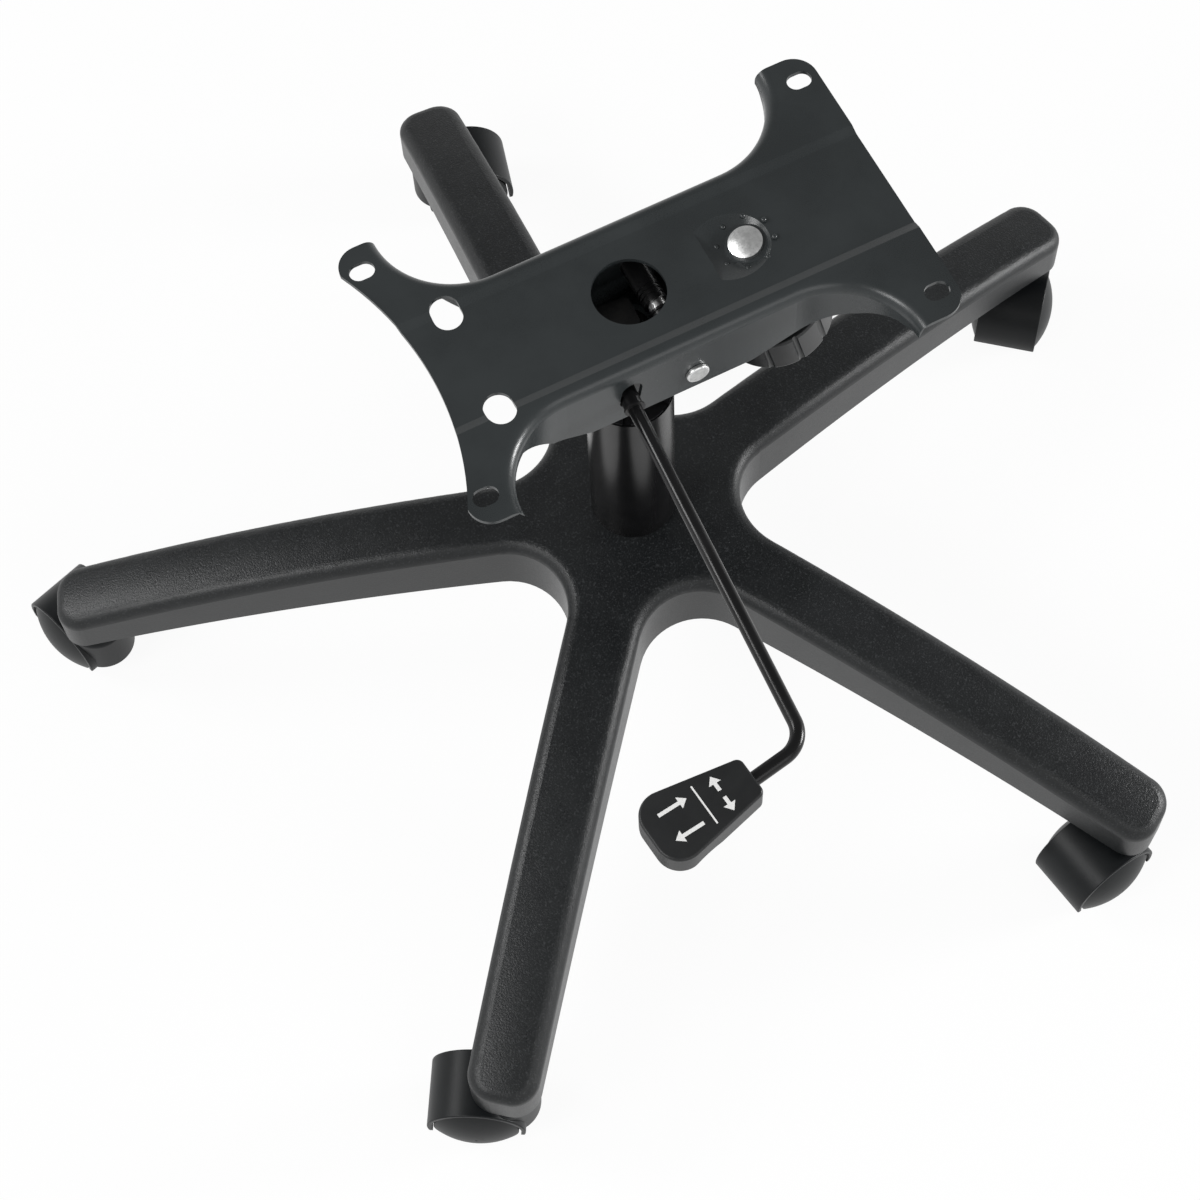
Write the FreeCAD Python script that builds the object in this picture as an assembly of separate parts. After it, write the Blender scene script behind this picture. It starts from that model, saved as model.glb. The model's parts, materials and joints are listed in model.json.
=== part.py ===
import FreeCAD, Part
import math
import os

V = FreeCAD.Vector
ORIGIN = V(0, 0, 0)
UP = V(0, 0, 1)

# Millimetres. The floor is z = 0, the column stands on the Z axis,
# +X is the front of the seat and -Y the sitter's right hand.

# Five star base
arm_count = 5
first_arm_angle = 14.48      # turn of the first arm from the seat's front
arm_reach = 358.0            # column axis to the end of an arm
arm_root_radius = 50.0       # where the root sizes of an arm are taken
arm_root_half = 22.4         # half width of an arm at its root
arm_tip_half = 21.1          # half width of an arm at its end
arm_rise_root = 60.0         # back of the arm at its root, above its end
arm_rise_middle = 40.3
arm_tip_rise = 26.0          # back of the arm's end, above the socket mouth
arm_depth_root = 46.5        # height of the arm's side at its root
arm_depth_middle = 37.8
arm_depth_tip = 29.0
web_radius = 38.0            # fillet between two arms
tip_corner = 16.0            # plan corner at the end of an arm
arm_edge = 8.0               # rounding of the arm's upper edge
base_wall = 4.0
rib_wall = 3.0
rib_count = 5
rib_start = 112.0            # radius of the first cross rib
rib_pitch = 42.0
rib_step = 5.0               # ribs stop this far above the arm's lower edge
hub_boss_wall = 12.0
hub_boss_height = 60.0
hub_ring_wall = 2.5
hub_ring_height = 9.0

# Casters
stem_inset = 19.0            # caster stem in from the arm's end
caster_turns = [230.0, 345.0, 108.0, 150.0, 189.5]
stem_radius = 5.5
stem_length = 21.0           # stem above the socket mouth
stem_collar = 8.5
stem_collar_height = 2.2
stem_chamfer = 1.0
socket_clearance = 0.25
socket_wall = 5.0
socket_spare = 1.0           # room above the end of the stem
grip_ring_wall = 1.0
grip_ring_height = 4.0
grip_ring_drop = 5.0         # ring below the end of the stem
grip_ring_split = 2.0
swivel_radius = 5.0          # lower part of the stem, inside the hood
wheel_radius = 25.0
trail = 19.0                 # wheel axle behind the stem
wheel_gap = 1.6              # tread to hood
hood_wall = 2.4
hood_half = 20.0             # half width of the hood
hood_drop = 6.0              # hood ends below the axle
hood_boss_radius = 9.5
hood_boss_rise = 2.5         # boss above the hood's crown
nose_reach = 17.5            # rounded nose ahead of the stem
nose_inset = 1.0             # nose in from the hood's sides
nose_drop = 3.0              # nose ends below the hood's crown
nose_edge = 4.0
hood_edge = 0.8
caster_web = 6.0             # middle wall between the wheels
wheel_side_gap = 0.6
wheel_dome = 6.5             # wheel bulge outside the hood
wheel_rim = 3.5
wheel_edge = 0.8
wheel_hub_radius = 7.0
wheel_recess = 9.0
axle_radius = 3.0
axle_half = 17.0

# Running clearances
slip = 0.05                  # radial gap of a turning or sliding fit
face_gap = 0.3               # gap between faces that pass each other

# Gas lift
column_radius = 25.0
column_wall = 1.5
column_length = 202.0
column_foot = 6.0            # column below the hub boss
column_taper = 1.0           # radius lost down the tapered foot
column_floor = 3.0
sleeve_length = 76.0
sleeve_rim = 1.5
sleeve_rim_inset = 0.8
sleeve_notches = 6
sleeve_notch = 5.0
sleeve_lip = 3.0             # rim left inside the notches
rod_radius = 5.0
race_height = 2.5
race_radius = 17.0
ball_radius = 2.0
ball_count = 10
ball_ring = 12.0
bumper_height = 8.0
bumper_radius = 13.0
rod_washer_height = 2.0
rod_washer_radius = 10.0
rod_clip_height = 1.5
rod_clip_radius = 8.0
rod_groove = 1.2
rod_end = 2.5                # rod below its clip
cylinder_radius = 14.0
cylinder_wall = 1.5
cylinder_end = 5.0           # gas cylinder above its socket
cone_taper = 1.3             # radius lost up the cone
gland_height = 10.0
piston_height = 12.0
piston_above_gland = 112.0
valve_block = 18.0
valve_radius = 4.0
valve_depth = 14.0
valve_dome = 1.4
lift_clearance = 0.6         # gas cylinder above the bumper

# Seat plate
plate_rise = 31.0            # plate above the pivot
sheet = 2.5
pattern_x = 13.2             # middle of the bolt pattern ahead of the column
slot_spacing_x = 260.0
slot_spacing_y = 150.0
slot_width = 10.5
slot_length = 14.0
slot_margin_front = 11.3     # slot's middle to the plate's edge
slot_margin_rear = 11.2
slot_margin_side = 15.5
waist_half = 44.0
wing_front = 30.0            # length of a wing's end
wing_rear = 25.0
front_corner = 14.0
rear_corner = 13.0
rear_bow = 17.0              # hollow of the rear edge
bend_radius = 7.0
channel_margin = 0.5         # flat between the bend and the channel
channel_slope = 5.0
channel_depth = 2.0
flange_drop = 14.5           # flange below the pivot
flange_front_run = 26.0      # flange tapers from here to the waist's end
flange_rear_run = 14.5
flange_rise = 8.5            # flange shallower at the waist's ends
flange_turn = 9.0
wing_arc_run = 16.0          # flange's edge along the wing's curve
wing_arc_rise = 19.5
wing_arc_rise_rear = 7.0
wing_tip_rise = 8.0
view_hole_radius = 20.0
view_hole_x = 2.0
oval_inset = 39.7            # oval holes ahead of the rear edge
oval_y = 32.0
oval_length = 20.0
oval_width = 16.0

# Tilt mechanism
pivot_x = 19.0
pivot_rise = 31.0            # pivot above the bracket's underside
seat_lean = 12.0             # degrees that the plate leans back on its pivot
pivot_radius = 5.0
pin_head_radius = 6.6
pin_head = 2.2
pivot_tube_radius = 7.0
pivot_tube_inner = 2.5       # bare pin between the two tubes, half length
tube_groove = 0.7
tube_groove_count = 3
bracket_gap = 7.5            # bracket to the plate's flange
bracket_sheet = 3.0
bracket_rear = -46.0
bracket_front = 104.0
bracket_step_x = 26.0        # floor steps up from here
bracket_step = 14.0
bracket_bend_x = 46.0        # floor turns square to the bolt from here
bracket_rear_side = 38.0     # height of the bracket's side at the rear
bracket_mid_side = 47.5
bracket_mid_x = 2.0
socket_radius = 19.0
socket_gap = 12.0            # socket above the column
socket_drop = 27.0           # socket below the bracket
socket_rise = 19.0           # socket above the bracket's underside

# Tension bolt, spring and knob, along a leaning axis
bolt_x = 71.0
dimple_depth = 4.0           # bolt's seat below the channel's floor
pip_count = 8                # small raised pips round the bolt's head
pip_rise_t = 1.6             # pips above the bolt's seat
pip_radius = 1.6
pip_sunk = 0.8               # centre of a pip below the dimple's wall
bolt_lean = 13.0             # degrees, foot forward
bolt_radius = 5.0
bolt_head_radius = 9.4
bolt_head_rim = 2.2
bolt_head_dome = 2.0
dimple_radius = 11.5         # flat round the bolt's head
dimple_flare = 1.7           # dimple's wall, run to rise
dimple_height = 9.0          # wall drawn this far up, past the plate
bolt_slot_front = 17.5       # travel slot in the bracket, ahead of the bolt
bolt_slot_rear = 6.8
spring_length = 39.0         # bracket's floor to the spring's lower seat
spring_seat_sheet = 2.5
spring_radius = 16.0
spring_wire = 5.0
spring_turns = 3.5
knob_radius = 33.0
knob_gap = 25.7              # knob below the bracket
knob_floor = 4.0             # knob under its nut
knob_cavity = 25.0
knob_lobes = 12
knob_scallop = 1.8           # radius of the groove between two lobes
knob_scallop_depth = 1.4
knob_edge = 2.0
nut_width = 17.0
nut_height = 8.0
bolt_end = 3.0               # bolt below its nut

# Height and tilt lever
lever_x = -17.8              # where the rod's axis crosses the middle plane
lever_rise = 33.0            # rod above the bracket's underside
lever_yaw = 3.04             # degrees, outer end rearward
lever_radius = 3.9
lever_inner = 14.0
lever_corner = 256.4
lever_bend = 16.0
lever_leg_turn = 12.9        # degrees past square
lever_leg = 62.0
bush_wall = 1.3
bush_outside = 5.0          # bush beyond the plate's flange
bush_inside = 11.0           # bush inside the bracket
bush_collar_wall = 2.4
bush_collar_length = 2.5
clip_wall = 2.0
clip_length = 1.2
tongue_sheet = 3.0
tongue_reach = 24.0
tongue_left = 13.5
tongue_right = 5.0
tongue_gap = 0.4
flange_slot_clear = 0.8      # room round the bush while the plate leans back

# Paddle at the end of the lever
paddle_start = 33.0          # from the rod's corner
paddle_length = 60.0
paddle_neck_half = 11.0
paddle_end_half = 22.0
paddle_turn = -3.2           # degrees from the rod's leg
paddle_height = 16.0
paddle_edge = 1.6
paddle_neck_corner = 4.0
paddle_end_corner = 13.0
finger_radius = 24.0
finger_depth = 3.2


overrun = 1.0                # how far a cut runs past the face it opens
flat = 0.01                  # an edge counts as level within this

# Heights, from the floor up
axle_z = wheel_radius
hood_inner = wheel_radius + wheel_gap
hood_outer = hood_inner + hood_wall
hood_top = axle_z + hood_outer + hood_boss_rise
stem_seat = hood_top + face_gap + stem_collar_height
arm_top_tip = stem_seat + arm_tip_rise
arm_top_middle = arm_top_tip + arm_rise_middle
arm_top_root = arm_top_tip + arm_rise_root
hub_boss_bottom = arm_top_root - hub_boss_height
column_bottom = hub_boss_bottom - column_foot
column_top = column_bottom + column_length
socket_bottom = column_top + socket_gap
bracket_bottom = socket_bottom + socket_drop
socket_top = bracket_bottom + socket_rise
cylinder_top = socket_top + cylinder_end
pivot_z = bracket_bottom + pivot_rise
lever_z = bracket_bottom + lever_rise
flange_bottom = pivot_z - flange_drop
plate_top = pivot_z + plate_rise
channel_top = plate_top - channel_depth
bolt_seat = channel_top - dimple_depth

# Plan sizes
stem_ring = arm_reach - stem_inset
hub_boss_radius = column_radius + hub_boss_wall
plate_half = slot_spacing_y / 2 + slot_margin_side
plate_front = pattern_x + slot_spacing_x / 2 + slot_margin_front
plate_rear = pattern_x - slot_spacing_x / 2 - slot_margin_rear
wing_radius = plate_half - waist_half
waist_front = plate_front - wing_front - wing_radius
waist_rear = plate_rear + wing_rear + wing_radius
channel_half = waist_half - bend_radius - channel_margin - channel_slope
bracket_half = waist_half - sheet - bracket_gap
bracket_inner = bracket_half - bracket_sheet
bush_outer = waist_half + bush_outside
bush_inner = bracket_inner - bush_inside


def polar(radius, degrees, z=0.0):
    angle = math.radians(degrees)
    return V(radius * math.cos(angle), radius * math.sin(angle), z)


def cylinder(radius, low, high, x=0.0, y=0.0):
    return Part.makeCylinder(radius, high - low, V(x, y, low))


def tube(outer, inner, low, high, x=0.0, y=0.0):
    return cylinder(outer, low, high, x, y).cut(cylinder(inner, low, high, x, y))


def cross_cylinder(radius, start, end, x, z):
    return Part.makeCylinder(radius, end - start, V(x, start, z), V(0, 1, 0))


def cross_tube(outer, inner, start, end, x, z):
    return cross_cylinder(outer, start, end, x, z).cut(cross_cylinder(inner, start, end, x, z))


def box(low, high):
    return Part.makeBox(high[0] - low[0], high[1] - low[1], high[2] - low[2], V(*low))


def polygon(points):
    return Part.Face(Part.makePolygon(points + points[:1]))


def side_prism(points, low, high):
    return polygon([V(x, low, z) for x, z in points]).extrude(V(0, high - low, 0))


def rounded_wire(corners):
    edges = []
    ends = []
    count = len(corners)
    for i, (point, radius) in enumerate(corners):
        back = (corners[i - 1][0] - point).normalize()
        ahead = (corners[(i + 1) % count][0] - point).normalize()
        if radius == 0:
            ends.append((point, None, point))
            continue
        half = back.getAngle(ahead) / 2
        inset = radius / math.tan(half)
        bisector = (back + ahead).normalize()
        middle = point + bisector * (radius / math.sin(half) - radius)
        ends.append((point + back * inset, middle, point + ahead * inset))
    for i, (start, middle, end) in enumerate(ends):
        if middle is not None:
            edges.append(Part.Arc(start, middle, end).toShape())
        edges.append(Part.LineSegment(end, ends[(i + 1) % count][0]).toShape())
    return Part.Wire(edges)


def circle_through(first, second, third):
    (ax, ay), (bx, by), (cx, cy) = first, second, third
    scale = 2 * (ax * (by - cy) + bx * (cy - ay) + cx * (ay - by))
    a2 = ax * ax + ay * ay
    b2 = bx * bx + by * by
    c2 = cx * cx + cy * cy
    x = (a2 * (by - cy) + b2 * (cy - ay) + c2 * (ay - by)) / scale
    y = (a2 * (cx - bx) + b2 * (ax - cx) + c2 * (bx - ax)) / scale
    return x, y, math.hypot(ax - x, ay - y)


def placed(shape, placement):
    copy = shape.copy()
    copy.Placement = placement.multiply(copy.Placement)
    return copy


def turned(shape, degrees):
    return placed(shape, FreeCAD.Placement(ORIGIN, FreeCAD.Rotation(UP, degrees)))


def flat_edges(shape):
    return [e for e in shape.Edges if e.BoundBox.ZLength < flat]


def export(name, shape):
    shape.exportStep("parts/" + name + ".step")


# Five star base

arm_middle_radius = (arm_root_radius + arm_reach) / 2
top_circle = circle_through((arm_root_radius, arm_top_root), (arm_middle_radius, arm_top_middle),
                            (arm_reach, arm_top_tip))
low_circle = circle_through((arm_root_radius, arm_top_root - arm_depth_root),
                            (arm_middle_radius, arm_top_middle - arm_depth_middle),
                            (arm_reach, arm_top_tip - arm_depth_tip))
profile_end = arm_reach + base_wall
arm_angles = [first_arm_angle + i * 360.0 / arm_count for i in range(arm_count)]
socket_top_z = stem_seat + stem_length + socket_spare
socket_radius_in = stem_radius + socket_clearance


def arm_height(circle, radius, offset=0.0):
    x, z, size = circle
    size += offset
    return z + math.sqrt(size * size - (radius - x) ** 2)


def star_face(inset, height):
    half_turn = math.radians(180.0 / arm_count)
    slope = (arm_tip_half - arm_root_half) / (arm_reach - arm_root_radius)
    root = arm_root_half - inset
    meet = (root - slope * arm_root_radius) / (math.tan(half_turn) - slope)
    corners = []
    for angle in arm_angles:
        along = polar(1, angle)
        across = polar(1, angle + 90)
        tip = along * (arm_reach - inset)
        side = across * (arm_tip_half - inset)
        corners.append((polar(meet / math.cos(half_turn), angle - math.degrees(half_turn)),
                        web_radius + inset))
        corners.append((tip - side, tip_corner - inset))
        corners.append((tip + side, tip_corner - inset))
    wire = rounded_wire(corners)
    wire.translate(V(0, 0, height))
    return Part.Face(wire)


def arm_revolve(bottom, offset):
    def top(radius):
        return V(radius, 0, arm_height(top_circle, radius, offset))

    outer = top(profile_end)
    low_outer, low_middle, low_inner = [V(r, 0, bottom(r)) for r in (profile_end, profile_end / 2, 0)]
    edges = [Part.Arc(top(0), top(profile_end / 2), outer).toShape()]
    edges.append(Part.LineSegment(outer, low_outer).toShape())
    edges.append(Part.Arc(low_outer, low_middle, low_inner).toShape())
    edges.append(Part.LineSegment(low_inner, top(0)).toShape())
    solid = Part.Face(Part.Wire(edges)).revolve(ORIGIN, UP, 360)
    solid.rotate(ORIGIN, UP, first_arm_angle + 180.0 / arm_count)
    return solid


def make_star_base():
    def low(radius):
        return arm_height(low_circle, radius)

    def below(radius):
        return low(radius) - 2 * base_wall

    def rib_edge(radius):
        return low(radius) + rib_step

    reach = arm_top_root + 2 * base_wall
    envelope = star_face(0, 0).extrude(V(0, 0, reach)).common(arm_revolve(low, 0))
    back = max((f for f in envelope.Faces if f.normalAt(0.5, 0.5).z > 0.5), key=lambda f: f.Area)
    shell = envelope.makeFillet(arm_edge, [e for e in back.Edges if not e.isSeam(back)])
    hollow = star_face(base_wall, 0).extrude(V(0, 0, reach)).common(arm_revolve(below, -base_wall))
    keep = [cylinder(hub_boss_radius, 0, reach)]
    walls = [box((0, -rib_wall / 2, 0), (stem_ring, rib_wall / 2, reach))]
    for i in range(rib_count):
        radius = rib_start + i * rib_pitch
        walls.append(box((radius, -arm_root_half, 0), (radius + rib_wall, arm_root_half, reach)))
    ribs = walls[0].fuse(walls[1:])
    room = arm_revolve(rib_edge, 0)
    for angle in arm_angles:
        stem = polar(stem_ring, angle)
        keep.append(cylinder(socket_radius_in + socket_wall, 0, reach, stem.x, stem.y))
        keep.append(turned(ribs, angle).common(room))
    base = shell.cut(hollow.cut(keep))
    extra = [cylinder(hub_boss_radius, hub_boss_bottom, arm_top_root - base_wall)]
    bores = [Part.makeCone(foot_radius(hub_boss_bottom), foot_radius(arm_top_root),
                           arm_top_root - hub_boss_bottom, V(0, 0, hub_boss_bottom))]
    bores.append(cylinder(column_radius, arm_top_root, reach))
    bores.append(tube(hub_boss_radius + hub_ring_wall, hub_boss_radius - hub_ring_wall,
                      hub_boss_bottom, hub_boss_bottom + hub_ring_height))
    for angle in arm_angles:
        stem = polar(stem_ring, angle)
        extra.append(cylinder(socket_radius_in + socket_wall, stem_seat, socket_top_z, stem.x, stem.y))
        bores.append(cylinder(socket_radius_in, stem_seat, socket_top_z, stem.x, stem.y))
        bores.append(cylinder(socket_radius_in + socket_wall + overrun, 0, stem_seat, stem.x, stem.y))
    return base.fuse(extra).cut(bores).removeSplitter()


def foot_radius(z):
    share = (arm_top_root - z) / (arm_top_root - column_bottom)
    return column_radius - column_taper * max(share, 0)


def make_hub_ring():
    return tube(hub_boss_radius, hub_boss_radius - hub_ring_wall,
                hub_boss_bottom, hub_boss_bottom + hub_ring_height)


# Casters, built about the stem with the wheels trailing along +X

ring_inner = socket_radius_in - grip_ring_wall
groove_top = stem_seat + stem_length - grip_ring_drop
swivel_bottom = axle_z + math.sqrt(hood_inner ** 2 - (trail - swivel_radius) ** 2) + face_gap


def make_stem():
    body = cylinder(stem_radius, stem_seat, stem_seat + stem_length)
    body = body.makeChamfer(stem_chamfer, [e for e in body.Edges if e.BoundBox.ZMin > groove_top])
    collar = cylinder(stem_collar, stem_seat - stem_collar_height, stem_seat)
    lower = cylinder(swivel_radius, swivel_bottom, stem_seat)
    groove = tube(stem_radius + overrun, ring_inner, groove_top - grip_ring_height, groove_top)
    return body.fuse([collar, lower]).cut(groove).removeSplitter()


def make_grip_ring():
    ring = tube(socket_radius_in, ring_inner, groove_top - grip_ring_height, groove_top)
    split = box((0, -grip_ring_split / 2, 0), (stem_collar, grip_ring_split / 2, arm_top_root))
    return ring.cut(split)


def make_hood():
    shell = cross_cylinder(hood_outer, -hood_half, hood_half, trail, axle_z)
    body = shell.makeFillet(hood_edge, [e for e in shell.Edges if e.BoundBox.YLength < flat])
    boss = cylinder(hood_boss_radius, axle_z, hood_top)
    nose_radius = hood_half - nose_inset
    nose_x = nose_radius - nose_reach
    nose_top = axle_z + hood_outer - nose_drop
    nose = cylinder(nose_radius, 0, nose_top, nose_x)
    nose = nose.makeFillet(nose_edge, [e for e in nose.Edges if e.BoundBox.ZMin > nose_top - flat])
    pocket = cylinder(nose_radius - hood_wall, 0, nose_top - hood_wall, nose_x).cut([shell, boss])
    body = body.fuse([nose, boss]).cut(pocket)
    hollow = cross_cylinder(hood_inner, -hood_half - overrun, hood_half + overrun, trail, axle_z)
    web = box((trail - hood_outer, -caster_web / 2, 0),
              (trail + hood_outer, caster_web / 2, axle_z + hood_outer))
    below = box((trail - 2 * hood_outer, -2 * hood_half, -hood_outer),
                (trail + 2 * hood_outer, 2 * hood_half, axle_z - hood_drop))
    body = body.cut(hollow.cut(web)).cut(below)
    axle_eye = cross_cylinder(wheel_hub_radius, -caster_web / 2, caster_web / 2, trail, axle_z)
    bore = cross_cylinder(axle_radius, -hood_half, hood_half, trail, axle_z)
    stem_bore = cylinder(swivel_radius + slip, swivel_bottom, hood_top)
    return body.fuse(axle_eye).cut([bore, stem_bore]).removeSplitter()


def make_axle():
    return cross_cylinder(axle_radius, -axle_half, axle_half, trail, axle_z)


def make_wheel(side):
    inner = caster_web / 2 + wheel_side_gap
    rim = hood_half - hood_edge
    crown = hood_half + wheel_dome
    cap = (wheel_radius ** 2 + (crown - rim) ** 2) / (2 * (crown - rim))
    half = wheel_radius / 2
    bore = axle_radius + slip
    bore_end = axle_half + face_gap

    def at(y, r):
        return V(0, y, r)

    recess = inner + wheel_recess
    path = [at(crown, 0), at(bore_end, 0), at(bore_end, bore), at(inner, bore), at(inner, wheel_hub_radius),
            at(recess, wheel_hub_radius), at(recess, wheel_radius - wheel_rim),
            at(inner, wheel_radius - wheel_rim), at(inner, wheel_radius - wheel_edge),
            at(inner + wheel_edge, wheel_radius), at(rim, wheel_radius)]
    edges = [Part.LineSegment(a, b).toShape() for a, b in zip(path, path[1:])]
    bulge = crown - cap + math.sqrt(cap ** 2 - half ** 2)
    edges.append(Part.Arc(path[-1], at(bulge, half), path[0]).toShape())
    wheel = Part.Face(Part.Wire(edges)).revolve(ORIGIN, V(0, 1, 0), 360)
    if side < 0:
        wheel = wheel.mirror(ORIGIN, V(0, 1, 0))
    wheel.translate(V(trail, 0, axle_z))
    return wheel


# Gas lift

sleeve_bottom = column_top - sleeve_length
column_inner = column_radius - column_wall
floor_top = column_bottom + column_floor
race_low = floor_top + race_height
race_high = race_low + 2 * ball_radius
bumper_low = race_high + race_height
cylinder_bottom = bumper_low + bumper_height + lift_clearance
clip_top = column_bottom - face_gap - rod_washer_height
rod_top = cylinder_bottom + piston_above_gland
gas_inner = cylinder_radius - cylinder_wall
valve_top = lever_z - tongue_sheet / 2 - tongue_gap


def make_column():
    tube_body = cylinder(column_radius, arm_top_root, column_top)
    foot = Part.makeCone(foot_radius(column_bottom), column_radius, arm_top_root - column_bottom,
                         V(0, 0, column_bottom))
    foot_inner = foot_radius(column_bottom) - column_wall
    hollow = Part.makeCone(foot_inner, column_inner, arm_top_root - floor_top, V(0, 0, floor_top))
    bore = cylinder(column_inner, arm_top_root, column_top)
    rod_hole = cylinder(rod_radius + slip, column_bottom, floor_top)
    return tube_body.fuse(foot).cut([hollow, bore, rod_hole]).removeSplitter()


def make_sleeve():
    rim_top = column_top + sleeve_rim
    body = cylinder(column_inner, sleeve_bottom, column_top)
    body = body.fuse(cylinder(column_radius - sleeve_rim_inset, column_top, rim_top))
    notch = box((cylinder_radius + sleeve_lip, -sleeve_notch / 2, column_top),
                (column_radius, sleeve_notch / 2, rim_top))
    cuts = [turned(notch, i * 360.0 / sleeve_notches) for i in range(sleeve_notches)]
    cuts.append(cylinder(cylinder_radius + slip, sleeve_bottom, rim_top))
    return body.cut(cuts).removeSplitter()


def make_balls():
    balls = []
    for i in range(ball_count):
        spot = polar(ball_ring, i * 360.0 / ball_count, race_low + ball_radius)
        balls.append(Part.makeSphere(ball_radius, spot))
    return Part.makeCompound(balls)


def make_race(low):
    return tube(race_radius, rod_radius + slip, low, low + race_height)


def make_bumper():
    return tube(bumper_radius, rod_radius + slip, bumper_low, bumper_low + bumper_height)


def make_piston_rod():
    rod = cylinder(rod_radius, clip_top - rod_clip_height - rod_end, rod_top)
    groove = tube(rod_radius + overrun, rod_radius - rod_groove, clip_top - rod_clip_height, clip_top)
    return rod.cut(groove)


def make_rod_washer():
    return tube(rod_washer_radius, rod_radius + slip, clip_top, clip_top + rod_washer_height)


def make_rod_clip():
    ring = tube(rod_clip_radius, rod_radius - rod_groove, clip_top - rod_clip_height, clip_top)
    return ring.cut(box((0, -rod_groove, 0), (rod_clip_radius, rod_groove, clip_top)))


def make_piston():
    return cylinder(gas_inner - slip, rod_top, rod_top + piston_height)


def make_gland():
    return tube(gas_inner, rod_radius + slip, cylinder_bottom, cylinder_bottom + gland_height)


def make_gas_cylinder():
    straight = cylinder(cylinder_radius, cylinder_bottom, socket_bottom)
    cone = Part.makeCone(cylinder_radius, cylinder_radius - cone_taper, cylinder_top - socket_bottom,
                         V(0, 0, socket_bottom))
    hollow = cylinder(gas_inner, cylinder_bottom, socket_bottom)
    upper = cylinder(gas_inner - cone_taper, socket_bottom, cylinder_top - valve_block)
    valve_bore = cylinder(valve_radius + slip, cylinder_top - valve_depth, cylinder_top)
    return straight.fuse(cone).cut([hollow, upper, valve_bore]).removeSplitter()


def make_valve_button():
    shoulder = valve_top - valve_dome
    stalk = cylinder(valve_radius, cylinder_top - valve_depth + 2 * valve_radius, shoulder)
    ball = (valve_radius ** 2 + valve_dome ** 2) / (2 * valve_dome)
    dome = Part.makeSphere(ball, V(0, 0, valve_top - ball))
    return stalk.fuse(dome.common(cylinder(valve_radius, shoulder, valve_top))).removeSplitter()


# Leaning axis of the tension bolt: local Z runs up the bolt from its seat

bolt_place = FreeCAD.Placement(V(bolt_x, 0, bolt_seat), FreeCAD.Rotation(V(0, 1, 0), -bolt_lean))
lean_tan = math.tan(math.radians(bolt_lean))
bracket_front_floor = bracket_bottom + bracket_step
bracket_front_low = bracket_front_floor + (bracket_front - bracket_bend_x) * lean_tan
bracket_stop = channel_top - sheet - face_gap

# Distances down the bolt from its seat
floor_drop = bolt_seat - bracket_front_floor - (bolt_x - bracket_bend_x) * lean_tan
spring_top_t = floor_drop * math.cos(math.radians(bolt_lean))
spring_seat_t = spring_top_t + spring_length
knob_top_t = spring_top_t + knob_gap
knob_floor_t = spring_seat_t + spring_seat_sheet + face_gap
nut_bottom_t = knob_floor_t + nut_height
knob_bottom_t = nut_bottom_t + knob_floor


def leaning(shape):
    return placed(shape, bolt_place)


def make_tension_bolt():
    head = cylinder(bolt_head_radius, 0, bolt_head_rim)
    ball = (bolt_head_radius ** 2 + bolt_head_dome ** 2) / (2 * bolt_head_dome)
    crown = bolt_head_rim + bolt_head_dome
    dome = Part.makeSphere(ball, V(0, 0, crown - ball))
    dome = dome.common(cylinder(bolt_head_radius, bolt_head_rim, crown))
    shank = cylinder(bolt_radius, -nut_bottom_t - bolt_end, 0)
    return leaning(head.fuse([dome, shank]).removeSplitter())


def make_tension_spring():
    length = spring_seat_t - spring_top_t - 2 * face_gap
    pitch = (length - spring_wire / 2) / spring_turns
    helix = Part.makeHelix(pitch, spring_turns * pitch, spring_radius)
    ring = Part.Wire(Part.makeCircle(spring_wire / 2, V(spring_radius, 0, 0), V(0, 1, 0)))
    coil = Part.Wire(helix).makePipeShell([ring], True, True)
    coil = coil.common(cylinder(spring_radius + spring_wire, 0, length - spring_wire / 2))
    coil.translate(V(0, 0, face_gap - spring_seat_t))
    return leaning(coil)


def make_spring_seat():
    outer = spring_radius + spring_wire / 2 + sheet
    low = -spring_seat_t - spring_seat_sheet
    return leaning(tube(outer, bolt_radius + face_gap, low, -spring_seat_t))


def hexagon(width, low, high):
    corner = width / math.sqrt(3)
    face = polygon([polar(corner, 60 * i, low) for i in range(6)])
    return face.extrude(V(0, 0, high - low))


def make_tension_nut():
    nut = hexagon(nut_width, -nut_bottom_t, -knob_floor_t)
    return leaning(nut.cut(cylinder(bolt_radius + slip, -nut_bottom_t, -knob_floor_t)))


def make_tension_knob():
    body = cylinder(knob_radius, -knob_bottom_t, -knob_top_t)
    body = body.makeFillet(knob_edge, flat_edges(body))
    scallops = []
    for i in range(knob_lobes):
        spot = polar(knob_radius + knob_scallop - knob_scallop_depth, i * 360.0 / knob_lobes)
        scallops.append(cylinder(knob_scallop, -knob_bottom_t, -knob_top_t, spot.x, spot.y))
    body = body.cut(scallops)
    cavity = cylinder(knob_cavity, -knob_floor_t, -knob_top_t)
    pocket = hexagon(nut_width, -nut_bottom_t, -knob_floor_t)
    bore = cylinder(bolt_radius + face_gap, -knob_bottom_t, -nut_bottom_t)
    return leaning(body.cut([cavity, pocket, bore]))


# Lever: local axes at the rod, with the rod along -Y and the paddle toward -X

lever_place = FreeCAD.Placement(V(lever_x, 0, lever_z), FreeCAD.Rotation(UP, -lever_yaw))
lever_leg_way = polar(1, 180.0 + lever_leg_turn)
lever_corner_point = V(0, -lever_corner, 0)
bush_radius = lever_radius + slip + bush_wall


def on_lever(shape):
    return placed(shape, lever_place)


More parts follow.
